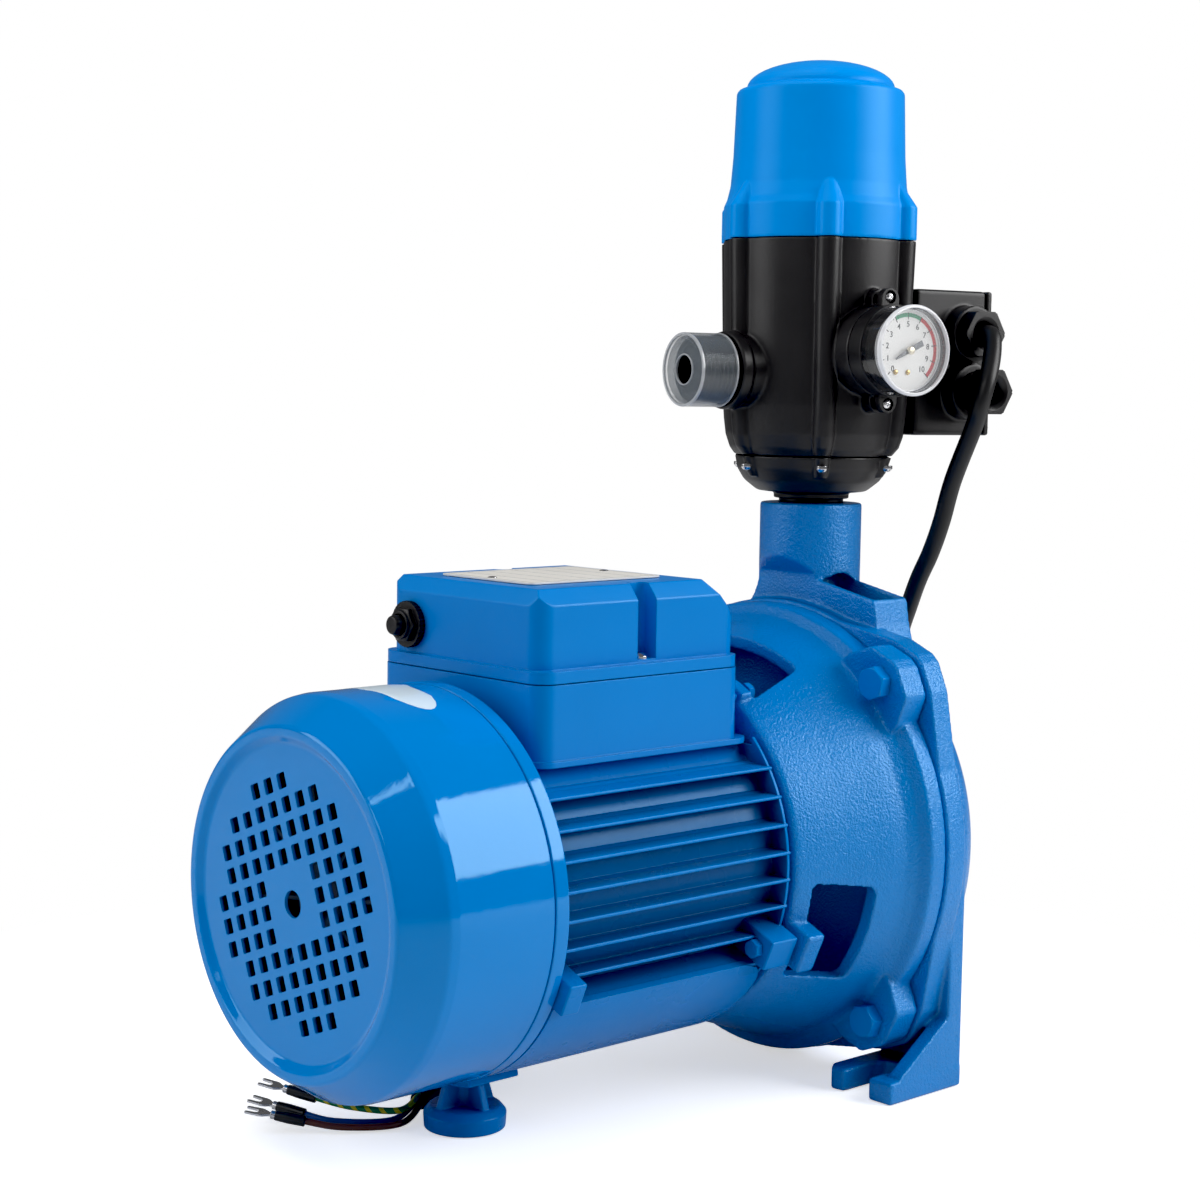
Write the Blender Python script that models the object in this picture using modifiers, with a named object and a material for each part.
"""Centrifugal water pump: finned motor with fan cover and terminal box, lantern
bracket, volute casing with feet, and an automatic pressure controller screwed into
the discharge neck.

Everything is drawn in the pump's own axes, in millimetres: X to the side, Y along
the shaft from the fan (front) towards the suction port (rear), Z up, with zero where
the shaft axis crosses the discharge axis.  An empty carries those axes to their place
over the motor support foot, whose flat sole is the origin of the finished part.
"""
import math

import bmesh
import bpy
from mathutils import Matrix, Vector

MM = 0.001
SHARP_ANGLE = 35.0          # edges steeper than this, in degrees, are shaded sharp

# ---- places shared by several pieces
FLOOR_Z = -103.5            # soles of all three feet
SUPPORT_Y = -199.2          # motor support foot, along the shaft
FRAME_Y0, FRAME_Y1 = -213.6, -88.6      # front and rear ends of the motor frame
LUG_R = 77.4                # radius of the screws between frame and bracket
LOW_LUGS = (-23.8, 180 + 23.8)          # their angles up from +X, in degrees
HIGH_LUGS = (62.0, 180 - 62.0)
CORNERS = (45, 135, 225, 315)           # bolts between bracket and casing
BOLT_CIRCLE = 103.4
BOLT_HOLE_R = 4.3
BOX_X, BOX_Y0, BOX_Y1 = 51, -205.5, -94.8       # terminal box footprint
LID_SCREW_X, LID_SCREW_Y = 44.2, -146.8
RESET_X, RESET_Z = -32.3, 98.9
CONTROL_TURN = -10.7        # the controller is screwed home a little off square
GAUGE_Z, STUB_Z = 213.8, 204.5
RESTART_Z = 190
GLAND_Y, CABLE_Z, BLANK_Z = 55.5, 222.5, 196.8

for old in list(bpy.data.objects):
    bpy.data.objects.remove(old, do_unlink=True)
scene = bpy.context.scene
parts = bpy.data.collections.new("centrifugal_water_pump")
cutters = bpy.data.collections.new("cutters")
scene.collection.children.link(parts)
scene.collection.children.link(cutters)


def material(name, colour, roughness, metallic=0.0, alpha=1.0):
    mat = bpy.data.materials.new(name)
    mat.use_nodes = True
    inputs = mat.node_tree.nodes["Principled BSDF"].inputs
    inputs["Base Color"].default_value = (*colour, 1.0)
    inputs["Roughness"].default_value = roughness
    inputs["Metallic"].default_value = metallic
    inputs["Alpha"].default_value = alpha
    mat.diffuse_color = (*colour, alpha)
    return mat


GLOSS_BLUE = material("gloss_blue_paint", colour=(0.006, 0.17, 0.54), roughness=0.18)
SATIN_BLUE = material("satin_blue_paint", colour=(0.007, 0.19, 0.58), roughness=0.35)
CAST_BLUE = material("cast_blue_paint", colour=(0.006, 0.18, 0.56), roughness=0.45)
CAP_BLUE = material("cap_blue_plastic", colour=(0.01, 0.25, 0.76), roughness=0.4)
BLACK = material("black_plastic", colour=(0.018, 0.018, 0.02), roughness=0.45)
RUBBER = material("black_rubber", colour=(0.012, 0.012, 0.013), roughness=0.6)
FAN_GREY = material("fan_plastic", colour=(0.12, 0.2, 0.3), roughness=0.5)
STEEL = material("turned_steel", colour=(0.55, 0.55, 0.56), roughness=0.3, metallic=1.0)
BRIGHT = material("plated_steel", colour=(0.7, 0.7, 0.72), roughness=0.22, metallic=1.0)
LAMINATE = material("steel_laminations", colour=(0.25, 0.24, 0.24), roughness=0.5, metallic=0.8)
COPPER = material("enamelled_copper", colour=(0.62, 0.25, 0.1), roughness=0.35, metallic=1.0)
BRASS = material("brass", colour=(0.7, 0.5, 0.2), roughness=0.3, metallic=1.0)
CERAMIC = material("seal_ceramic", colour=(0.85, 0.83, 0.78), roughness=0.3)
CLEAR = material("clear_plastic", colour=(0.9, 0.92, 0.93), roughness=0.12, alpha=0.35)
WHITE = material("dial_white", colour=(0.85, 0.85, 0.83), roughness=0.4)
PLATE = material("plate_aluminium", colour=(0.72, 0.7, 0.68), roughness=0.35, metallic=0.6)
RED = material("red_plastic", colour=(0.6, 0.02, 0.02), roughness=0.35)
BROWN = material("brown_insulation", colour=(0.12, 0.05, 0.04), roughness=0.5)
WIRE_BLUE = material("blue_insulation", colour=(0.02, 0.12, 0.4), roughness=0.5)
EARTH = material("green_insulation", colour=(0.02, 0.25, 0.12), roughness=0.5)


def empty(name, location=(0, 0, 0), parent=None, turn=0.0):
    axes = bpy.data.objects.new(name, None)
    scene.collection.objects.link(axes)
    axes.parent = parent
    axes.location = [c * MM for c in location]
    axes.rotation_euler = (0, 0, math.radians(turn))
    return axes


pump_axes = empty("pump_axes", (0, -SUPPORT_Y, -FLOOR_Z))
shaft_axis = empty("shaft_axis", parent=pump_axes)
control_axes = empty("control_axes", parent=pump_axes, turn=CONTROL_TURN)
reset_axis = empty("reset_axis", (RESET_X, -213.5, RESET_Z), pump_axes)
valve_axis = empty("valve_axis", (0, 0, 168.5), control_axes)
pointer_axis = empty("pointer_axis", (67.4, 0, GAUGE_Z), control_axes)
restart_axis = empty("restart_axis", (0, 72.8, RESTART_Z), control_axes)
CONTROL_PARENTS = (control_axes, valve_axis, pointer_axis, restart_axis)
bpy.context.view_layer.update()


# ---- modelling helpers: each returns a hidden working object in the cutters collection
def place(bm, name):
    bmesh.ops.recalc_face_normals(bm, faces=bm.faces)
    mesh = bpy.data.meshes.new(name)
    bm.to_mesh(mesh)
    bm.free()
    ob = bpy.data.objects.new(name, mesh)
    cutters.objects.link(ob)
    ob.hide_render = True
    ob.display_type = "WIRE"
    return ob


def baked(ob):
    """Applies modifiers, turns curves into meshes and faces the normals outwards."""
    bpy.context.view_layer.update()
    graph = bpy.context.evaluated_depsgraph_get()
    mesh = bpy.data.meshes.new_from_object(ob.evaluated_get(graph))
    bm = bmesh.new()
    bm.from_mesh(mesh)
    bmesh.ops.remove_doubles(bm, verts=bm.verts, dist=1e-4)
    name = ob.name
    bpy.data.objects.remove(ob, do_unlink=True)
    return place(bm, name)


def rod(start, end, radius, segments=24, end_radius=None, turn=0.0):
    """A cylinder, or a cone if end_radius is given, turned about its own axis."""
    start, end = Vector(start), Vector(end)
    span = end - start
    matrix = (Matrix.Translation((start + end) / 2) @ span.to_track_quat("Z", "Y").to_matrix().to_4x4()
              @ Matrix.Rotation(math.radians(turn), 4, "Z"))
    bm = bmesh.new()
    bmesh.ops.create_cone(bm, cap_ends=True, segments=segments, radius1=radius,
                          radius2=radius if end_radius is None else end_radius,
                          depth=span.length, matrix=matrix)
    return place(bm, "rod")


def rod_x(y, z, x0, x1, radius, segments=24, end_radius=None):
    return rod((x0, y, z), (x1, y, z), radius, segments, end_radius)


def rod_y(x, z, y0, y1, radius, segments=24, end_radius=None):
    return rod((x, y0, z), (x, y1, z), radius, segments, end_radius)


def rod_z(x, y, z0, z1, radius, segments=24, end_radius=None):
    return rod((x, y, z0), (x, y, z1), radius, segments, end_radius)


def hexagon(start, end, flats, turn=0.0):
    return rod(start, end, flats / math.sqrt(3), 6, turn=turn)


def block(low, high, bevel=0.0, segments=2, upright=False):
    """A box; bevel rounds every edge, or only the upright ones."""
    low, high = Vector(low), Vector(high)
    bm = bmesh.new()
    bmesh.ops.create_cube(bm, size=1.0, matrix=Matrix.Translation((low + high) / 2)
                          @ Matrix.Diagonal((*(high - low), 1)))
    if bevel:
        edges = [e for e in bm.edges
                 if not upright or abs((e.verts[0].co - e.verts[1].co).normalized().z) > 0.99]
        bmesh.ops.bevel(bm, geom=edges, offset=bevel, segments=segments, profile=0.5,
                        affect="EDGES")
    return place(bm, "block")


def turned(profile, axis="Y", segments=48):
    """An outline of (radius, distance along the axis) points spun about the axis."""
    bm = bmesh.new()
    verts = [bm.verts.new((radius, 0, height)) for radius, height in profile]
    on_axis = profile[0][0] == 0 and profile[-1][0] == 0
    for a, b in zip(verts, verts[1:] + ([] if on_axis else verts[:1])):
        bm.edges.new((a, b))
    mesh = bpy.data.meshes.new("turned")
    bm.to_mesh(mesh)
    bm.free()
    ob = bpy.data.objects.new("turned", mesh)
    cutters.objects.link(ob)
    spin = ob.modifiers.new("spin", "SCREW")
    spin.axis = "Z"
    spin.angle = math.tau
    spin.steps = spin.render_steps = segments
    spin.use_merge_vertices = True
    spin.merge_threshold = 1e-4
    ob = baked(ob)
    if axis == "Y":
        ob.data.transform(Matrix.Rotation(math.radians(-90), 4, "X"))
    elif axis == "X":
        ob.data.transform(Matrix.Rotation(math.radians(90), 4, "Y"))
    return ob


def baked_curve(name, points, dimensions, cyclic=False, **settings):
    """A straight-sided curve through (x, y, z) points, made into a mesh."""
    curve = bpy.data.curves.new(name, "CURVE")
    curve.dimensions = dimensions
    for key, value in settings.items():
        setattr(curve, key, value)
    line = curve.splines.new("POLY")
    line.points.add(len(points) - 1)
    for point, co in zip(line.points, points):
        point.co = (*co, 1)
    line.use_cyclic_u = cyclic
    ob = bpy.data.objects.new(name, curve)
    cutters.objects.link(ob)
    return baked(ob)


# where an outline's two coordinates and its thickness go, by the outline's normal
OUTLINE_TURNS = {
    "X": Matrix(((0, 0, 1, 0), (1, 0, 0, 0), (0, 1, 0, 0), (0, 0, 0, 1))),
    "Y": Matrix(((1, 0, 0, 0), (0, 0, 1, 0), (0, 1, 0, 0), (0, 0, 0, 1))),
    "Z": Matrix.Identity(4),
}


def outline(points, low, high, normal="Y"):
    """A flat outline filled and given thickness from low to high along its normal.
    Points are (x, z) for normal Y, (x, y) for normal Z and (y, z) for normal X."""
    ob = baked_curve("outline", [(a, b, 0) for a, b in points], "2D", cyclic=True,
                     fill_mode="BOTH", extrude=(high - low) / 2)
    ob.data.transform(Matrix.Translation((0, 0, (low + high) / 2)))
    ob.data.transform(OUTLINE_TURNS[normal])
    return baked(ob)


def tube(points, radius, resolution=2):
    """A round bar swept along points."""
    return baked_curve("tube", points, "3D", bevel_depth=radius, bevel_resolution=resolution,
                       use_fill_caps=True)


def spline(points, each):
    """Points along a smooth curve through the given ones, so many to each span."""
    knots = [Vector(q) for q in points]
    knots = [2 * knots[0] - knots[1]] + knots + [2 * knots[-1] - knots[-2]]
    out = []
    for i in range(1, len(knots) - 2):
        a, b, c, d = knots[i - 1:i + 3]
        for k in range(each):
            t = k / each
            out.append(0.5 * ((2 * b) + (c - a) * t + (2 * a - 5 * b + 4 * c - d) * t * t
                              + (3 * b - a - 3 * c + d) * t ** 3))
    return out + [knots[-2]]


def moved(ob, matrix):
    ob.data.transform(matrix)
    return ob


def shifted(ob, *offset):
    return moved(ob, Matrix.Translation(offset))


def about_shaft(ob, angle):
    """Turns a piece about Y, from +X up towards +Z."""
    return moved(ob, Matrix.Rotation(math.radians(-angle), 4, "Y"))


def sided(ob, side):
    """Mirrors a piece drawn at +X if side is -1."""
    return baked(moved(ob, Matrix.Diagonal((side, 1, 1, 1))))


def at_angle(angle, radius, y):
    a = math.radians(angle)
    return (radius * math.cos(a), y, radius * math.sin(a))


def rod_around(angle, circle, y0, y1, radius):
    """A rod along Y whose centre lies on a circle about the shaft."""
    return rod(at_angle(angle, circle, y0), at_angle(angle, circle, y1), radius, 12)


def combine(operation, first, others):
    for i, other in enumerate(others):
        boolean = first.modifiers.new(f"{operation.lower()}_{i}", "BOOLEAN")
        boolean.operation = operation
        boolean.object = other
        boolean.solver = "EXACT"
    first = baked(first)
    for other in others:
        bpy.data.objects.remove(other, do_unlink=True)
    return first


def union(first, *others):
    return combine("UNION", first, others)


def cut(first, *others):
    return combine("DIFFERENCE", first, others)


def common(first, *others):
    return combine("INTERSECT", first, others)


def part(name, ob, mat, parent=pump_axes):
    """Turns a working object into a named part, with its origin at its parent's.
    Controller pieces are drawn in the controller's axes, all others in the pump's."""
    ob.name = name
    ob.data.name = name
    drawn_in = control_axes if parent in CONTROL_PARENTS else pump_axes
    local = drawn_in.matrix_world.inverted() @ parent.matrix_world
    local.translation = local.translation / MM
    ob.data.transform(local.inverted())
    ob.data.transform(Matrix.Scale(MM, 4))
    ob.data.materials.clear()
    ob.data.materials.append(mat)
    ob.data.shade_smooth()
    ob.data.set_sharp_from_angle(angle=math.radians(SHARP_ANGLE))
    cutters.objects.unlink(ob)
    parts.objects.link(ob)
    ob.hide_render = False
    ob.display_type = "TEXTURED"
    ob.parent = parent


# ================================================================ motor
COVER_R, COVER_T = 79.06, 1.4
COVER_FRONT, COVER_BACK = -286.2, -221.3
HOLE_PITCH_U, HOLE_PITCH_V, HOLE_TURN = 9.38, 9.18, 21.0
HOLE_W, HOLE_H = 5.3, 6.0
# nearest and farthest hole column from the middle one, for each row from the top
GRILLE_ROWS = ((0, 1), (0, 3), (0, 4), (0, 4), (2, 5), (2, 5), (2, 5), (0, 4), (0, 4), (0, 3),
               (0, 1))


def fan_cover():
    """Pressed sheet cup with a raised rim, a cone and a grille of rectangular holes."""
    inside = COVER_R - COVER_T
    cover = turned([
        (0, -283.6), (60.6, -283.6), (63.0, -285.4), (66.2, COVER_FRONT), (68.6, -285.4),
        (72.4, -280.0), (78.0, -270.6), (COVER_R, -267.0), (COVER_R, COVER_BACK),
        (inside, COVER_BACK), (inside, -267.2), (76.7, -270.2), (71.2, -279.2),
        (67.4, -284.4), (64.4, -284.4), (61.3, -282.2), (0, -282.2)], segments=28)
    holes = bmesh.new()
    turn = Matrix.Rotation(-math.radians(HOLE_TURN), 4, "Y")
    size = Matrix.Diagonal((HOLE_W, 8, HOLE_H, 1))
    for row, (nearest, farthest) in enumerate(GRILLE_ROWS):
        for column in range(-5, 6):
            if nearest <= abs(column) <= farthest:
                spot = Matrix.Translation((column * HOLE_PITCH_U, -283, (5 - row) * HOLE_PITCH_V))
                bmesh.ops.create_cube(holes, size=1.0, matrix=turn @ spot @ size)
    return cut(cover, place(holes, "holes"), rod_y(0, 0, -290, -275, 5.3, 20))


def cooling_fan():
    """Disc and hub with eight flat blades."""
    fan = turned([(10, -250), (66, -250), (66, -247.6), (10, -247.6)], segments=32)
    fan = union(fan, turned([(6.1, -272), (15, -272), (17, -247), (6.1, -247)], segments=16))
    for k in range(8):
        blade = block((12, -271, -1.0), (65, -248.5, 1.0))
        fan = union(fan, about_shaft(blade, -(45 * k + 8)))
    return fan


def fan_end_shield():
    """Holds the fan-end bearing; the cover sits over its spigot."""
    return turned([
        (79.4, -220.7), (79.4, -214.0), (59.9, -214.0), (59.9, -209.5), (55.5, -209.5),
        (55.5, -214.0), (10, -214.0), (10, -220.4), (17.8, -220.4), (17.8, -235.5),
        (22.5, -235.5), (22.5, -219.8), (73.2, -219.8), (73.0, -228.5), (76.8, -228.5),
        (76.8, -220.7)], segments=28)


part("fan_cover", fan_cover(), GLOSS_BLUE)
part("cooling_fan", cooling_fan(), FAN_GREY, shaft_axis)
part("fan_end_shield", fan_end_shield(), SATIN_BLUE)

# ---- finned motor frame
TUBE_R, TUBE_BORE = 66.0, 60.3
FIN_R, FIN_T, FIN_TOP_Z, FIN_PITCH = 75.0, 2.2, 40.5, 11.2
FIN_COUNT = 7
SCREW_HOLE_R = 2.4
BOX_WALL = 3.5


def fin(z):
    """A level fin through the frame, thinner towards both tips."""
    x = math.sqrt(FIN_R ** 2 - z ** 2)
    tip, root = FIN_T * 0.32, FIN_T * 0.6       # half thicknesses
    return outline([(-x, z - tip), (-60, z - root), (60, z - root), (x, z - tip),
                    (x, z + tip), (60, z + root), (-60, z + root), (-x, z + tip)],
                   -211.8, -89.2)


def motor_frame():
    """Tube with fins, lower skirt, fixing ears and the terminal box base."""
    added = [fin(FIN_TOP_Z - k * FIN_PITCH) for k in range(FIN_COUNT)]
    skirt = turned([(76.6, FRAME_Y0 + 0.1), (79.5, FRAME_Y0 + 0.1), (79.5, -97.0), (76.6, -97.0)])
    added.append(common(skirt, block((-90, -230, -90), (90, -80, -36.6))))
    for angle in (-90, -60, -120):      # webs out to the skirt
        added.append(about_shaft(block((60, FRAME_Y0 + 0.3, -1.5), (78, -98, 1.5)), angle))
    for angle in LOW_LUGS:
        for ear in (block((62, FRAME_Y0 + 0.2, -6.8), (84.0, -204.5, 6.8), 1.2, 1),
                    block((62, -104.0, -6.8), (84.4, FRAME_Y1 - 0.2, 6.8), 1.2, 1),
                    block((62, FRAME_Y0 + 0.4, -7.2), (78.6, FRAME_Y1 - 8, -5.6))):
            added.append(about_shaft(ear, angle))
    for angle in HIGH_LUGS:
        ear = block((60, -100.0, -5.4), (80.6, FRAME_Y1 - 0.3, 5.4))
        added.append(about_shaft(ear, angle))
    frame = union(rod_y(0, 0, FRAME_Y0, FRAME_Y1, TUBE_R, 36), *added)
    frame = union(frame,
                  block((-BOX_X, BOX_Y0, 50.5), (BOX_X, BOX_Y1, 82.0), 8.0, 3, upright=True),
                  block((-52.2, -206.6, 50.2), (52.2, -89.5, 52.4), 8.5, 3, upright=True))
    tools = [rod_y(0, 0, -230, -70, TUBE_BORE, 32),
             block((BOX_WALL - BOX_X, BOX_Y0 + BOX_WALL, 71.5),
                   (BOX_X - BOX_WALL, BOX_Y1 - BOX_WALL, 90), 5.0, 2, upright=True)]
    for angle in LOW_LUGS:
        tools.append(rod_around(angle, LUG_R, -107, -80, SCREW_HOLE_R))
    for angle in HIGH_LUGS:
        tools.append(rod_around(angle, LUG_R, -97.0, -80, SCREW_HOLE_R))
    for x in (-LID_SCREW_X, LID_SCREW_X):
        tools.append(rod_z(x, LID_SCREW_Y, 66.0, 90.0, 1.9, 12))
    tools.append(rod_z(18, -150, 48, 74, 6.0, 16))      # wire passage into the stator
    return cut(frame, *tools)


part("motor_frame", motor_frame(), SATIN_BLUE)


# ---- stator, rotor, shaft and bearings
def ring(inner, outer, y0, y1, segments):
    return turned([(inner, y0), (outer, y0), (outer, y1), (inner, y1)], segments=segments)


def winding(y0, y1):
    """Rounded coil end."""
    middle = (y0 + y1) / 2
    return turned([(37, middle - 5), (42, y0), (49, y0), (54.5, middle - 4),
                   (54.5, middle + 4), (49, y1), (42, y1), (37, middle + 5)], segments=18)


def shaft():
    """Stepped shaft from the fan seat to the impeller thread, with a keyway."""
    steps = [(0, -276), (5.3, -276), (5.8, -275.3), (5.8, -246), (7.3, -245.4), (7.3, -221.2),
             (8.7, -221.2), (9.0, -216), (9.0, -94), (8.7, -88.1), (7.3, -88.1), (7.3, -76.6),
             (6.9, -76.0), (6.9, -9.2), (6.0, -9.1), (6.0, 5.2), (5.0, 5.4), (5.0, 13.6),
             (0, 13.6)]
    return cut(turned(steps, segments=12), block((-2.2, -6.4, 3.2), (2.2, 3.4, 9)))


part("stator_core", ring(31.5, 60.0, -190, -120, 24), LAMINATE)
part("stator_winding_front", winding(-206, -190.3), COPPER)
part("stator_winding_rear", winding(-119.7, -104), COPPER)
part("rotor_core", ring(9.3, 30.9, -193, -117, 24), LAMINATE, shaft_axis)
part("shaft", shaft(), STEEL, shaft_axis)
BEARING_W = 10.4
for end, y in (("fan", -232.3), ("drive", -87.6)):
    part(f"{end}_bearing_outer", ring(14.0, 17.5, y, y + BEARING_W, 16), STEEL)
    part(f"{end}_bearing_inner", ring(7.6, 10.9, y, y + BEARING_W, 16), STEEL, shaft_axis)

# ---- terminal box lid, its screws and the nameplate
LID_X, LID_Y0, LID_Y1, LID_TOP = 47.5, -203.5, -94.6, 118.45
LID_T = 2.5
# a point on each sloping face round the lid's top, and the face's outward direction
LID_SLOPES = (
    ((LID_X, 0, 112.2), (6.25, 0, 5.05)),
    ((-LID_X, 0, 112.2), (-6.25, 0, 5.05)),
    ((0, LID_Y0, 112.2), (0, -6.25, 3.3)),
    ((0, LID_Y1, 100.5), (0, 17.95, 16.8)),
)


def sloped(ob, inset):
    """Cuts a block down to the lid's sloping faces, moved in by inset."""
    bm = bmesh.new()
    bm.from_mesh(ob.data)
    for point, direction in LID_SLOPES:
        normal = Vector(direction).normalized()
        geom = bm.verts[:] + bm.edges[:] + bm.faces[:]
        got = bmesh.ops.bisect_plane(bm, geom=geom, dist=1e-5, clear_outer=True,
                                     plane_co=Vector(point) - normal * inset, plane_no=normal)
        rim = [e for e in got["geom_cut"] if isinstance(e, bmesh.types.BMEdge)]
        bmesh.ops.contextual_create(bm, geom=rim)
    bpy.data.objects.remove(ob, do_unlink=True)
    return place(bm, "sloped")


def terminal_box_lid():
    """Hollow lid with a chamfered top, a wider lower lip and a screw slot in each side."""
    lid = sloped(block((-LID_X, LID_Y0, 84), (LID_X, LID_Y1, LID_TOP), 8.0, 3, upright=True), 0)
    lid = union(lid, block((-BOX_X, BOX_Y0, 82.4), (BOX_X, BOX_Y1, 87.2), 8.5, 3, upright=True))
    room = sloped(block((LID_T - LID_X, LID_Y0 + LID_T, 80),
                        (LID_X - LID_T, LID_Y1 - LID_T, 115.9), 6.0, 2, upright=True), LID_T)
    room = cut(room, block((36.0, -155.2, 70), (60, -138.4, 130)),
               block((-60, -155.2, 70), (-36.0, -138.4, 130)))
    lid = cut(lid, room)
    slots = []
    for side in (1, -1):
        slots.append(sided(block((39.6, LID_SCREW_Y - 5, 88.2), (60, LID_SCREW_Y + 5, 130)), side))
        slots.append(rod_z(side * LID_SCREW_X, LID_SCREW_Y, 75, 95, 2.4, 12))
    return cut(lid, *slots, rod_y(RESET_X, RESET_Z, -210, -190, 5.7, 20))


def lid_screw(x):
    screw = union(rod_z(x, LID_SCREW_Y, 67, 89.2, 1.6, 12),
                  rod_z(x, LID_SCREW_Y, 88.5, 90.9, 3.5, 16, 2.6))
    return cut(screw, block((x - 0.4, LID_SCREW_Y - 3.2, 90.0), (x + 0.4, LID_SCREW_Y + 3.2, 92)))


part("terminal_box_lid", terminal_box_lid(), SATIN_BLUE)
part("lid_screw_right", lid_screw(LID_SCREW_X), BRIGHT)
part("lid_screw_left", lid_screw(-LID_SCREW_X), BRIGHT)
part("nameplate", block((-28.5, -192.0, 118.75), (28.5, -120.5, 119.5), 3.0, 2, upright=True),
     PLATE)


# ---- inside the terminal box, and the reset button through its front wall
def terminal_block():
    terminals = block((-30, -176, 71.8), (6, -128, 84))
    for k in range(3):
        x = -27 + 12 * k
        terminals = union(terminals, block((x, -172, 83), (x + 7, -132, 90)))
    return terminals


def overload_protector():
    guard = union(rod_y(RESET_X, RESET_Z, -200.4, -178, 7.2, 20),
                  rod_y(RESET_X, RESET_Z, -209.6, -200, 5.3, 16))
    return cut(guard, rod_y(RESET_X, RESET_Z, -212, -199.6, 4.35, 16))


def reset_button_nut():
    """Knurled washer with a hexagon in front."""
    knurl = bmesh.new()
    spot = Matrix.Translation((RESET_X, -205.15, RESET_Z))
    bmesh.ops.create_cone(knurl, cap_ends=True, segments=36, radius1=9.5, radius2=9.5, depth=2.6,
                          matrix=spot @ Matrix.Rotation(math.radians(90), 4, "X"))
    for vert in knurl.verts:
        outward = Vector((vert.co.x - RESET_X, 0, vert.co.z - RESET_Z))
        # every second of the corners, which stand 10 degrees apart, is drawn in
        if round(math.degrees(math.atan2(outward.z, outward.x)) / 10) % 2:
            vert.co -= outward.normalized() * 0.55
    nut = union(place(knurl, "knurl"),
                hexagon((RESET_X, -208.9, RESET_Z), (RESET_X, -206, RESET_Z), 13.0))
    return cut(nut, rod_y(RESET_X, RESET_Z, -215, -200, 5.6, 24))


def reset_button():
    return union(rod_y(RESET_X, RESET_Z, -213.2, -203.4, 4.0, 16),
                 rod_y(RESET_X, RESET_Z, -213.9, -213.1, 3.4, 16, 4.0))


part("terminal_block", terminal_block(), BLACK)
part("run_capacitor", union(rod_y(22, 95, -196, -130, 13.0, 20), rod_y(22, 95, -131, -124, 7, 12)),
     WHITE)
part("overload_protector", overload_protector(), BLACK)
part("reset_button_nut", reset_button_nut(), BLACK)
part("reset_button", reset_button(), BLACK, reset_axis)


def support_foot():
    """Round pad, stem, two crossed plates for ribs and a saddle under the frame."""
    pad = turned([(0, FLOOR_Z), (16.6, FLOOR_Z), (17.0, -103.0), (17.0, -97.0), (15.2, -94.6),
                  (0, -94.6)], "Z", 28)
    pad = shifted(pad, 0, SUPPORT_Y, 0)
    stem = rod_z(0, SUPPORT_Y, -96.5, -76, 4.3, 16)
    ribs = []
    for angle, low, top in ((0, -95.6, -77.6), (90, -96.0, -77.0)):
        rib = outline([(-13.8, low), (13.8, low), (13.4, -93.0), (8.2, top), (-8.2, top),
                       (-13.4, -93.0)], -1.75, 1.75)
        ribs.append(moved(rib, Matrix.Translation((0, SUPPORT_Y, 0))
                          @ Matrix.Rotation(math.radians(angle), 4, "Z")))
    saddle = common(ring(79.9, 83.4, -213.0, -187.0, 60), block((-19, -220, -90), (19, -180, -60)))
    foot = union(pad, stem, *ribs)
    foot = cut(foot, rod_y(0, 0, -230, -170, 81.6, 60))
    return union(foot, saddle)


part("support_foot", support_foot(), SATIN_BLUE)

# ================================================================ pump end
BRACKET_R = 101.3
# (radius, y) round the bell: outside, rear flange, seal wall, inside, bearing wall
BELL_PROFILE = [
    (75.6, -87.3), (76.8, -86.0), (79.0, -79.9), (84.0, -65), (88.3, -53), (91.6, -44),
    (93.6, -37.6), (96.2, -33.6), (BRACKET_R, -30.0), (BRACKET_R, -21.2), (84.5, -21.2),
    (84.5, -17.2), (14.2, -17.2), (14.2, -25.5), (9.0, -25.5), (9.0, -31.0), (85.0, -31.0),
    (86.8, -40), (83.0, -53), (74.0, -78.4), (22.5, -78.4), (22.5, -73.5), (12.0, -73.5),
    (12.0, -76.6), (17.8, -76.6), (17.8, -89.5), (22.5, -89.5), (22.5, -84.2), (54.5, -84.2),
    (54.5, -93.0), (59.9, -93.0), (59.9, -87.3)]
# (outward, across) round one bolt pad of the bracket's flange
PAD_OUTLINE = [(78, 19.5), (98.5, 19.0), (110.6, 14.4), (115.4, 2.4), (115.4, -2.4),
               (110.6, -14.4), (98.5, -19.0), (78, -19.5)]


def window(angle, half_width, y0, y1):
    """A radial prism with rounded corners."""
    prism = block((-half_width, y0, 62), (half_width, y1, 112), 4.0, 2, upright=True)
    return about_shaft(prism, angle - 90)


def bolt_holes(y0, y1):
    return [rod_around(angle, BOLT_CIRCLE, y0, y1, BOLT_HOLE_R) for angle in CORNERS]


def bracket():
    """Lantern bell with three windows, bearing wall, seal wall, bolt pads and lugs."""
    bell = union(turned(BELL_PROFILE, segments=32),
                 *[about_shaft(outline(PAD_OUTLINE, -35.0, -21.6), a) for a in CORNERS])
    lugs = []
    for angle in LOW_LUGS:
        lugs.append(about_shaft(block((73, -87.0, -9.0), (88.5, -77.0, 9.0), 1.5, 1), angle))
    for angle in HIGH_LUGS:
        lugs.append(about_shaft(block((68, -86.7, -5.6), (80.8, -79.6, 5.6), 1.5, 1), angle))
    bell = cut(bell, window(90, 42.5, -80.9, -53.0), window(-21.6, 22.5, -79.4, -50.5),
               window(180 + 21.6, 22.5, -79.4, -50.5))
    bell = union(bell, *lugs)
    return cut(bell, *bolt_holes(-50, -10),
               *[rod_around(a, LUG_R, -95, -70, SCREW_HOLE_R) for a in LOW_LUGS + HIGH_LUGS])


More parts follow.
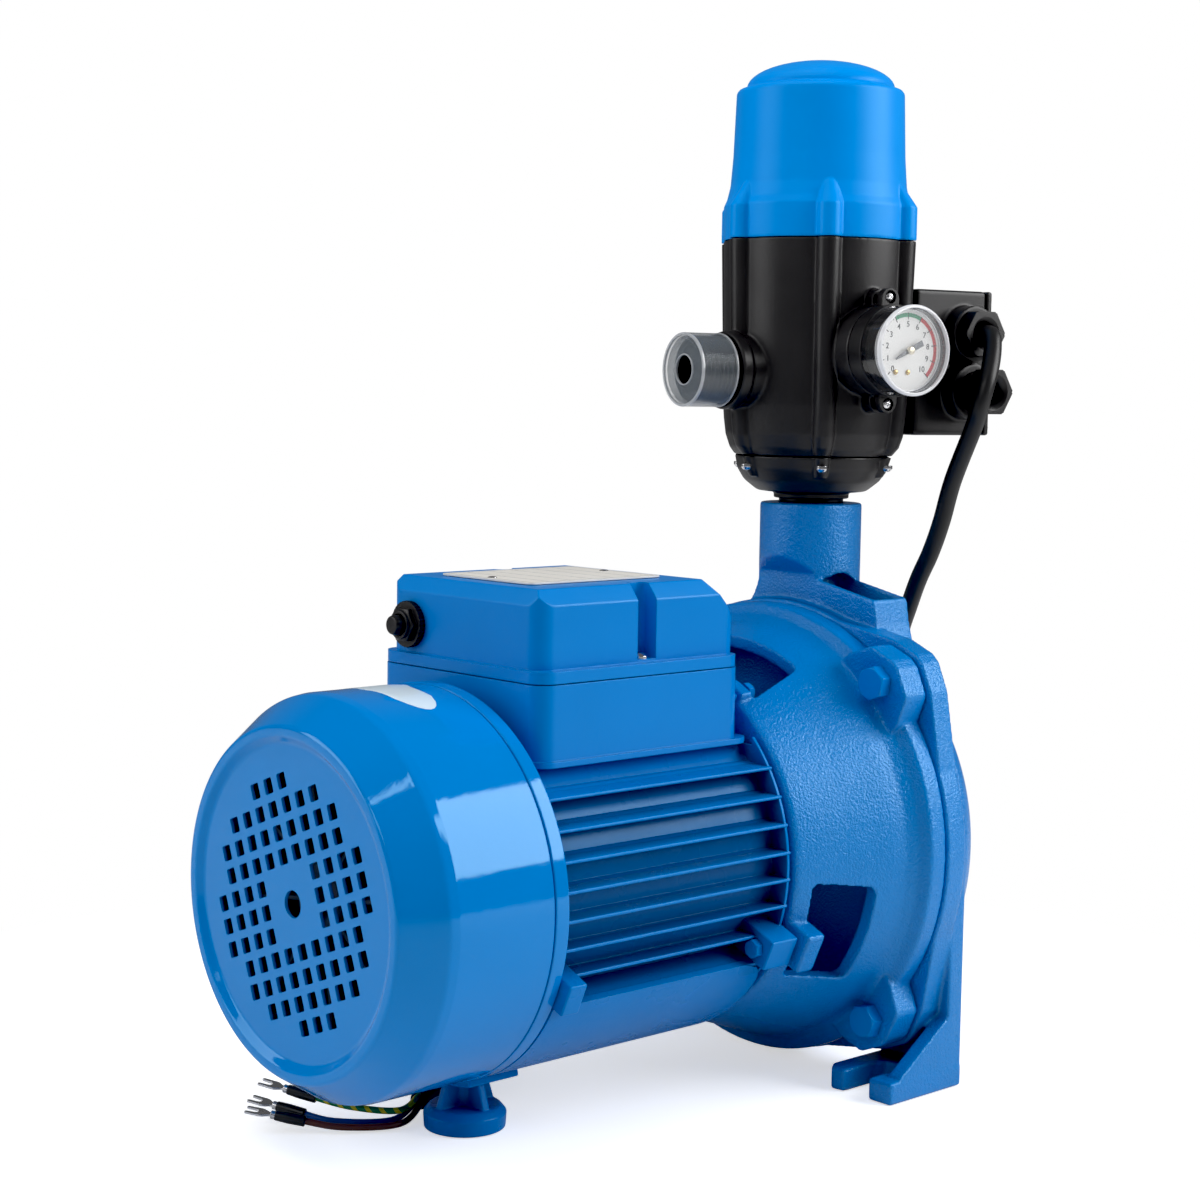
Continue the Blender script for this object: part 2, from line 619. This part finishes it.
def frame_bolt(angle, y_head, y_end):
    """Bolt whose head seats at y_head and whose shank ends at y_end."""
    outward = -1 if y_head < y_end else 1
    head = hexagon(at_angle(angle, LUG_R, y_head), at_angle(angle, LUG_R, y_head + outward * 3.4), 7.0)
    return union(head, rod_around(angle, LUG_R, y_head + outward, y_end, 2.0))


part("bracket", bracket(), CAST_BLUE)
frame_bolts = [(a, -104.3, -79.5) for a in LOW_LUGS] + [(a, -79.2, -96.5) for a in HIGH_LUGS]
for i, bolt in enumerate(frame_bolts, 1):
    part(f"frame_bolt_{i}", frame_bolt(*bolt), SATIN_BLUE)

# ---- mechanical seal
part("seal_seat", turned([(8.2, -25.2), (13.9, -25.2), (13.9, -17.5), (12.6, -16.9), (8.2, -16.9)],
                         segments=16), CERAMIC)
part("seal_head", turned([(7.2, -16.5), (11.8, -16.5), (11.8, -14.6), (13.2, -14.6), (13.2, -9.6),
                          (7.2, -9.6)], segments=16), RUBBER, shaft_axis)

# ---- impeller, its key and its nut
BLADE_R0, BLADE_REACH, BLADE_SWEEP = 21.3, 46.2, 62     # sweep in degrees
BLADE_HALF_T = 1.2


def impeller_blade(angle):
    sides = ([], [])
    for i in range(5):
        t = i / 4
        r = BLADE_R0 + BLADE_REACH * t
        a = math.radians(angle - BLADE_SWEEP * t)
        for side, w in zip(sides, (-BLADE_HALF_T, BLADE_HALF_T)):
            side.append(((r + w * 0.5) * math.cos(a + w / r), (r + w * 0.5) * math.sin(a + w / r)))
    return outline(sides[0] + sides[1][::-1], -6.4, 2.2)


def impeller():
    """Two shrouds with six swept blades between them, and a keyway."""
    wheel = turned([(6.3, -8.6), (68, -8.6), (68, -6.0), (14, -5.6), (12, 5.0), (6.3, 5.0)],
                   segments=22)
    wheel = union(wheel, turned([(19.8, 1.4), (68, 1.4), (68, 3.6), (24, 4.4), (22.4, 6.5),
                                 (22.4, 12.5), (19.8, 12.5)], segments=22))
    for k in range(6):
        wheel = union(wheel, impeller_blade(60 * k))
    return cut(wheel, block((-2.2, -9.5, 4.5), (2.2, 8, 8.4)))


part("impeller", impeller(), BRASS, shaft_axis)
part("impeller_key", block((-1.9, -6.0, 3.5), (1.9, 3.0, 8.0)), STEEL, shaft_axis)
part("impeller_nut", cut(hexagon((0, 5.4, 0), (0, 11.6, 0), 13.0), rod_y(0, 0, 0, 20, 5.3, 12)),
     BRASS, shaft_axis)

# ---- volute casing
CASING_R, VOLUTE_R = 102.3, 97.2
NECK_R, NECK_TOP, PORT_R = 23.0, 146.0, 15.2
NECK_BORE_TURN = 0.05       # radians about the discharge axis
WEB_X, WEB_Z = 50, 84       # where the curved flank of the web below the neck begins
FILLER_X, FILLER_Y = 37, -3.5
FOOT_X, FOOT_FRONT, FOOT_T = 95.9, -46.9, 9.6
PLATE_X = FOOT_X - 0.3
DRAIN_IN, DRAIN_OUT = Vector((-52, 5.9, -53.5)), Vector((-72, 21.3, -74.2))     # drain axis
DRAIN_BOSS_END = Vector((-66.5, 17.0, -68.5))

# (radius, y) over the outside, from the flange to the suction port
CASING_PROFILE = [
    (CASING_R, -20.9), (CASING_R, -9.6), (CASING_R - 0.8, -8.8), (VOLUTE_R, -8.6), (VOLUTE_R, -2),
    (95.0, 3), (89.5, 10), (81, 16.5), (70, 21.0), (50, 24), (27, 25.5), (24.6, 28),
    (24.0, 44.0), (0, 44.0), (0, -20.9)]
# (radius, y) of the space inside, from the flange to the suction port
HOLLOW_PROFILE = [
    (90.2, -25), (90.2, -17.6), (85.8, -17.6), (85.8, -15.0), (89.0, -12.0), (89.2, 2),
    (85.5, 9.5), (79.0, 12.6), (73.5, 12.0), (71.5, 6.5), (23.2, 6.5), (23.2, 14.5),
    (PORT_R, 18.5), (PORT_R, 50), (0, 50), (0, -25)]
# (outward, across) round one flange corner
CORNER_OUTLINE = [(84, 55.5), (112.7, 14.4), (117.5, 2.4), (117.5, -2.4), (112.7, -14.4),
                  (84, -55.5)]
# (x, z) round the priming pocket and the room in it
POCKET_OUTLINE = [(8, 81), (56.5, 81), (55.8, 87), (53.4, 94), (51.5, 105.4), (12.0, 113.6),
                  (8, 113.6)]
POCKET_ROOM = [(16, 94), (49.6, 94), (48.3, 120), (16, 120)]
# (y, z) round the wedge cut from the neck's front; the rear one mirrors it
NECK_WEDGE = [(-15.2, 80), (-15.2, 114.5), (-24.5, 123.8), (-40, 123.8), (-40, 80)]
# (x, z) round the upright plate that joins the feet
FEET_PLATE = [(-PLATE_X, -14), (PLATE_X, -14), (PLATE_X, -97), (59.4, -97), (58, -94), (48, -84),
              (-48, -84), (-58, -94), (-59.4, -97), (-PLATE_X, -97)]
# (x, y) round the sole of the +X foot, with its open bolt slot
TOE_OUTLINE = [(FOOT_X, 0.0), (59, 0.0), (59, -42.0), (62.5, FOOT_FRONT), (69.7, FOOT_FRONT),
               (69.7, -28), (71.5, -23.4), (76.4, -21.4), (81.3, -23.4), (83.2, -28),
               (83.2, FOOT_FRONT), (FOOT_X, FOOT_FRONT)]
# (y, z) round the gusset on the foot
GUSSET_OUTLINE = [(-5, -70), (-9.6, -71.9), (-39.7, -92.6), (-41, -96), (-5, -96)]


def neck_web():
    """Web with curved flanks that rises from the volute into the neck."""
    flank = []
    for i in range(9):
        a = i / 8 * math.pi / 2
        flank.append((WEB_X - 33.5 * math.sin(a) ** 0.9, WEB_Z + 34 * (1 - math.cos(a)) ** 0.85))
    return outline([(-x, z) for x, z in flank] + flank[::-1] + [(WEB_X, 70), (-WEB_X, 70)],
                   -15.2, 15.2)


def discharge_neck():
    neck = turned([(0, 88), (NECK_R, 88), (NECK_R, NECK_TOP - 0.8), (NECK_R - 0.8, NECK_TOP),
                   (0, NECK_TOP)], "Z", 32)
    return cut(neck, outline(NECK_WEDGE, -40, 40, "X"),
               outline([(-y, z) for y, z in NECK_WEDGE], -40, 40, "X"))


def pump_casing():
    """Volute with its neck, priming pocket, two feet, suction port and drain boss."""
    casing = union(turned(CASING_PROFILE[::-1], segments=32),
                   *[about_shaft(outline(CORNER_OUTLINE, -20.7, -9.2), a) for a in CORNERS])
    casing = union(casing, neck_web(), outline(POCKET_OUTLINE, -14.9, 8.2))
    casing = cut(casing, outline(POCKET_ROOM, -12.2, 5.4))
    casing = union(casing, discharge_neck())
    casing = union(casing, outline(FEET_PLATE, -9.6, -0.3))
    for side in (1, -1):
        toe = outline(TOE_OUTLINE, FLOOR_Z, FLOOR_Z + FOOT_T, "Z")
        gusset = outline(GUSSET_OUTLINE, FOOT_X - 7.6, FOOT_X - 0.15, "X")
        casing = union(casing, sided(toe, side), sided(gusset, side))
    neck_bore = turned([(0, 70), (12.0, 70), (12.0, 119), (PORT_R, 119), (PORT_R, 160), (0, 160)],
                       "Z", 28)
    casing = cut(casing, turned(HOLLOW_PROFILE, segments=28),
                 moved(neck_bore, Matrix.Rotation(NECK_BORE_TURN, 4, "Z")),
                 rod_z(FILLER_X, FILLER_Y, 72, 97, 5.4, 20), *bolt_holes(-25, -5))
    casing = union(casing, rod((-60, 12, -62), DRAIN_BOSS_END, 9.5, 20))
    return cut(casing, rod(DRAIN_IN, DRAIN_OUT, 4.6, 16))


def drain_plug():
    outward = (DRAIN_OUT - DRAIN_IN).normalized()
    # the point of the drain axis nearest the boss's end
    seat = DRAIN_IN + outward * ((DRAIN_BOSS_END - DRAIN_IN).dot(outward))
    return union(hexagon(seat + outward * 0.4, seat + outward * 5.4, 13.0),
                 rod(seat + outward * 1.0, seat - outward * 8.0, 4.2, 16))


def filler_plug():
    head = hexagon((FILLER_X, FILLER_Y, 94.4), (FILLER_X, FILLER_Y, 101.4), 13.0, 15)
    return union(head, rod_z(FILLER_X, FILLER_Y, 95, 82, 5.0, 20))


def casing_bolt(angle, turn):
    head = hexagon(at_angle(angle, BOLT_CIRCLE, -41.0), at_angle(angle, BOLT_CIRCLE, -35.3), 13.0,
                   turn)
    return union(head, rod_around(angle, BOLT_CIRCLE, -36, -8.0, 3.9))


def casing_o_ring():
    sides = 5
    return turned([(87.5 + 1.4 * math.cos(math.tau * i / sides),
                    -19.3 + 1.3 * math.sin(math.tau * i / sides)) for i in range(sides)],
                  segments=26)


part("pump_casing", pump_casing(), CAST_BLUE)
part("drain_plug", drain_plug(), BRASS)
part("filler_plug", filler_plug(), BRASS)
for i, angle in enumerate(CORNERS, 1):
    part(f"casing_bolt_{i}", casing_bolt(angle, 12 * i), CAST_BLUE)
part("casing_o_ring", casing_o_ring(), RUBBER)

# ================================================================ pressure controller
# drawn in its own axes: +X towards the gauge, -Y the outlet, +Y the control box
CONTROL_BOX_X, CONTROL_BOX_Z0, CONTROL_BOX_Z1 = 37.5, 177, 242


def grip_ribs(stations):
    """Six round ribs whose axes follow (z, radius, rib radius) stations."""
    made = []
    for k in range(6):
        a = math.radians(-90 + 60 * k)
        bm = bmesh.new()
        rings = []
        for z, r, width in stations:
            spot = Matrix.Translation((r * math.cos(a), r * math.sin(a), z))
            circle = bmesh.ops.create_circle(bm, cap_ends=False, segments=8, radius=width,
                                             matrix=spot @ Matrix.Rotation(a, 4, "Z"))
            rings.append(circle["verts"])
        for lower, upper in zip(rings, rings[1:]):
            for i in range(8):
                j = (i + 1) % 8
                bm.faces.new((lower[i], lower[j], upper[j], upper[i]))
        bm.faces.new(rings[0])
        bm.faces.new(rings[-1])
        made.append(place(bm, "rib"))
    return made


def controller_body():
    """Ribbed barrel with outlet stub, gauge seat, control box and two gland collars."""
    body = turned([(0, 167.2), (35.2, 167.2), (37.6, 170.5), (39.4, 177), (40.6, 190),
                   (42.0, 262.6), (0, 262.6)], "Z", 24)
    body = union(body, *grip_ribs([(167.4, 34.6, 3.6), (176, 38.2, 5.0), (190, 39.8, 5.0),
                                   (262.4, 41.4, 5.5)]))
    stub = union(rod_y(0, STUB_Z, -30, -45.6, 16.3, 28), rod_y(0, STUB_Z, -45, -50.6, 17.2, 28),
                 rod_y(0, STUB_Z, -50, -66.5, 14.3, 28))
    pod = union(rod_x(0, GAUGE_Z, 30, 49.6, 19.9, 32),
                block((34, -4.6, GAUGE_Z - 27.0), (46.6, 4.6, GAUGE_Z + 27.0), 1.2, 1))
    box = block((-CONTROL_BOX_X, 28, CONTROL_BOX_Z0), (CONTROL_BOX_X, 68.2, CONTROL_BOX_Z1), 1.6, 1)
    collars = [rod_x(GLAND_Y, z, 36.5, 46.0, 12.6, 20) for z in (CABLE_Z, BLANK_Z)]
    body = union(body, stub, pod, box, *collars)
    room = turned([(0, 171.2), (33, 171.2), (35.5, 176), (36.6, 190), (37.6, 270), (0, 270)],
                  "Z", 24)
    body = cut(body, room, rod_y(0, STUB_Z, -20, -80, 11.0, 20),
               block((-35, 46, 179.6), (35, 80, 239.4)),
               rod_z(0, 0, 160, 175, 11.0, 28), rod_x(0, GAUGE_Z, 30, 60, 2.6, 16),
               *[rod_x(GLAND_Y, z, 25, 60, 9.0, 16) for z in (CABLE_Z, BLANK_Z)])
    # bar across the barrel with the valve stem's hole
    bridge = cut(block((-40, -4.5, 219.5), (40, 4.5, 223.0)), rod_z(0, 0, 210, 230, 3.5, 16))
    return union(body, bridge)


def controller_cap():
    """Hollow cap: banded skirt with six ribs, a tapered barrel and a low dome."""
    dome_r, dome_z, dome_h = 34.6, 330.4, 12.3
    dome = []
    for i in range(4):
        a = i / 4 * math.pi / 2
        dome.append((dome_r * math.cos(a), dome_z + dome_h * math.sin(a)))
    cap = turned([(0, 262.9), (42.2, 262.9), (42.3, 277.6), (40.8, 281), (39.6, 287), (38.6, 300),
                  (37.5, 327.6), (36.8, 329.6)] + dome + [(0, dome_z + dome_h)], "Z", 28)
    cap = union(cap, *grip_ribs([(262.9, 41.6, 5.5), (277.2, 41.6, 5.5), (281.5, 39.6, 4.6),
                                 (286.0, 37.6, 3.6), (290.0, 35.4, 2.6)]))
    return cut(cap, turned([(0, 255), (39.2, 255), (39.4, 277), (36.8, 287), (35.2, 326),
                            (31.8, 329), (24, 336), (0, 339.6)], "Z", 20))


def controller_base():
    """Spigot into the neck and the ribbed dish under the body, bored through."""
    base = turned([(0, 127.5), (14.0, 127.5), (14.6, 128.4), (14.6, 147.2), (17.0, 147.4),
                   (17.0, 150.0), (24.7, 151.2), (30.6, 155.6), (33.6, 160.6), (34.9, 166.9),
                   (0, 166.9)], "Z", 24)
    base = union(base, *grip_ribs([(160.2, 32.0, 3.4), (166.7, 34.4, 3.6)]))
    return cut(base, rod_z(0, 0, 120, 180, 10.2, 28))


def flow_valve():
    return turned([(0, 173.2), (14.0, 173.2), (14.0, 176.2), (6.0, 177.4), (3.1, 178), (3.1, 232),
                   (0, 232)], "Z", 20)


def valve_spring():
    """Four turns of wire, eight points to a turn."""
    coil = [(8.2 * math.cos(math.tau * i / 8), 8.2 * math.sin(math.tau * i / 8),
             179.4 + 38.2 * i / 32) for i in range(33)]
    return tube(coil, 0.7, 0)


def outlet_cap():
    """Clear cap over the outlet thread, with a hole in its end."""
    jar = turned([(14.9, -51.2), (16.15, -51.2), (16.15, -70.4), (15.4, -71.4), (6.4, -71.4),
                  (6.4, -69.6), (14.9, -69.6)], "Y", 26)
    return shifted(jar, 0, 0, STUB_Z)


part("controller_body", controller_body(), BLACK, control_axes)
part("controller_cap", controller_cap(), CAP_BLUE, control_axes)
part("controller_base", controller_base(), BLACK, control_axes)
part("flow_valve", flow_valve(), WHITE, valve_axis)
part("valve_spring", valve_spring(), BRIGHT, control_axes)
part("outlet_cap", outlet_cap(), CLEAR, control_axes)


# ---- pressure gauge on the controller's +X side
def gauge_pod():
    pod = union(rod_x(0, GAUGE_Z, 49.9, 58.4, 19.8, 28),
                block((50.1, -4.4, GAUGE_Z - 26.4), (52.6, 4.4, GAUGE_Z + 26.4), 0.8, 1))
    return cut(pod, rod_x(0, GAUGE_Z, 45, 70, 2.6, 16))


def gauge_disc(x0, x1):
    """A disc with a hole for the pointer's spindle."""
    disc = turned([(1.2, x0), (17.2, x0), (17.2, x1), (1.2, x1)], "X", 24)
    return shifted(disc, 0, 0, GAUGE_Z)


def gauge_lens():
    profile = [(17.6, 58.7), (19.5, 58.7), (19.5, 70.4), (18.6, 71.4), (0, 71.4), (0, 69.8),
               (17.6, 69.8)]
    return shifted(turned(profile[::-1], "X", 26), 0, 0, GAUGE_Z)


def gauge_pointer():
    """Spindle, hub and a tapered blade."""
    spindle = union(rod_x(0, GAUGE_Z, 61.5, 69.2, 0.8, 12), rod_x(0, GAUGE_Z, 67.0, 69.0, 2.1, 16))
    blade = outline([(-1.2, -7.5), (1.2, -7.5), (1.5, 2.0), (0.4, 12.5), (-0.4, 12.5),
                     (-1.5, 2.0)], 67.4, 68.2, "X")
    return union(spindle, moved(blade, Matrix.Translation((0, 0, GAUGE_Z))
                                @ Matrix.Rotation(math.radians(135), 4, "X")))


part("gauge_pod", gauge_pod(), BLACK, control_axes)
part("gauge_case", gauge_disc(58.7, 65.0), BRASS, control_axes)
part("gauge_dial", gauge_disc(65.3, 65.9), WHITE, control_axes)
part("gauge_lens", gauge_lens(), CLEAR, control_axes)
part("gauge_pointer", gauge_pointer(), STEEL, pointer_axis)


# ---- control box cover, its restart button and the two glands
def control_box_cover():
    def panel(inset, y0, y1, bevel):
        return block((inset - CONTROL_BOX_X, y0, CONTROL_BOX_Z0 + inset),
                     (CONTROL_BOX_X - inset, y1, CONTROL_BOX_Z1 - inset), bevel, 1)
    cover = union(panel(0, 68.6, 72.0, 1.4), panel(4, 71, 73.0, 1.0))
    return cut(cover, rod_y(0, RESTART_Z, 60, 80, 5.4, 24))


def gland(z, out, bore):
    """A hexagon nut with a shank in the box's collar and a flared mouth, drawn out by out."""
    nut = union(hexagon((46.3 + out, GLAND_Y, z), (52.6 + out, GLAND_Y, z), 19.8),
                rod_x(GLAND_Y, z, 38.5 + out, 47 + out, 8.6, 16))
    return cut(nut, rod_x(GLAND_Y, z, 30, 70, bore, 16),
               rod_x(GLAND_Y, z, 50.4 + out, 53 + out, bore, 16, bore + 2.4))


part("control_box_cover", control_box_cover(), BLACK, control_axes)
part("restart_button", union(rod_y(0, RESTART_Z, 62.0, 74.4, 5.0, 16),
                             rod_y(0, RESTART_Z, 60.6, 62.4, 6.6, 16)), RED, restart_axis)
part("cable_gland", gland(CABLE_Z, 0, 4.5), BLACK, control_axes)
part("blanking_gland", gland(BLANK_Z, 6.2, 5.2), BLACK, control_axes)


# ================================================================ cable, in the pump axes
def from_control(x, y, z):
    """A point of the controller's axes in the pump's."""
    c, s = math.cos(math.radians(CONTROL_TURN)), math.sin(math.radians(CONTROL_TURN))
    return (x * c - y * s, x * s + y * c, z)


# (x, y, z) from the gland, down round the casing and motor, to the floor by the foot
CABLE_ROUTE = [
    from_control(38, GLAND_Y, CABLE_Z), from_control(51, GLAND_Y, CABLE_Z),
    from_control(57.0, 54.8, 221.4),
    (69.4, 40.2, 216.0), (71.9, 36.0, 208.5), (72.8, 32.0, 199.8), (71.0, 30.2, 189.8),
    (66.6, 32.0, 181.0), (53.6, 35, 157.2), (47.2, 35.5, 138), (41, 36, 123.6),
    (33.3, 37, 110.3), (22, 42, 92), (2, 52, 62), (-30, 62, 28), (-72, 56, 0),
    (-108, 30, -24), (-120, -10, -42), (-108, -64, -58), (-82, -118, -74),
    (-54, -156, -87), (-35, -182, -95.4), (-25.5, -203, -98.9)]
# name, material, (across, up) offset in the cable's end, (x, y, z) points beyond it
CONDUCTORS = (
    ("conductor_brown", BROWN, (1.9, -0.6),
     [(-13.5, -222, -101.6), (-24, -243, -101.2), (-36, -256, -98.5)]),
    ("conductor_blue", WIRE_BLUE, (-1.7, -1.2),
     [(-19.5, -222, -101.7), (-32, -241, -101.2), (-44.5, -250, -98.8)]),
    ("conductor_earth", EARTH, (0.4, 2.3),
     [(-16.5, -220, -97.2), (-24.5, -238, -94.0), (-38, -249, -90.5)]),
)
# (across, along) round a fork terminal
FORK_OUTLINE = [(-1.6, 0), (1.6, 0), (1.6, 3), (3.9, 5.5), (3.9, 12.5), (2.0, 12.5), (2.0, 7.0),
                (-2.0, 7.0), (-2.0, 12.5), (-3.9, 12.5), (-3.9, 5.5), (-1.6, 3)]


def conductor(across, up, points):
    """Insulated wire with a sleeve and a fork terminal on its end."""
    start = Vector((-24.9 + 0.9 * across, -204.2 + 0.3 * across, -98.9 + up))
    path = spline([start] + points, 3)
    wire = tube(path, 1.35, 1)
    end = path[-1]
    ahead = (end - path[-3]).normalized()
    side = ahead.cross(Vector((0, 0, 1))).normalized()
    sleeve = rod(end - ahead * 3, end + ahead * 10, 2.3, 14)
    # columns: across the fork, along it, through it, and the place of its root
    columns = (side, ahead, side.cross(ahead).normalized(), end + ahead * 9)
    matrix = Matrix((*zip(*columns), (0, 0, 0, 1)))
    fork = outline(FORK_OUTLINE, -0.4, 0.4, "Z")
    return union(wire, sleeve, baked(moved(fork, matrix)))


part("power_cable", tube(spline(CABLE_ROUTE, 2), 4.0, 1), RUBBER)
for name, mat, offset, points in CONDUCTORS:
    part(name, conductor(*offset, points), mat)
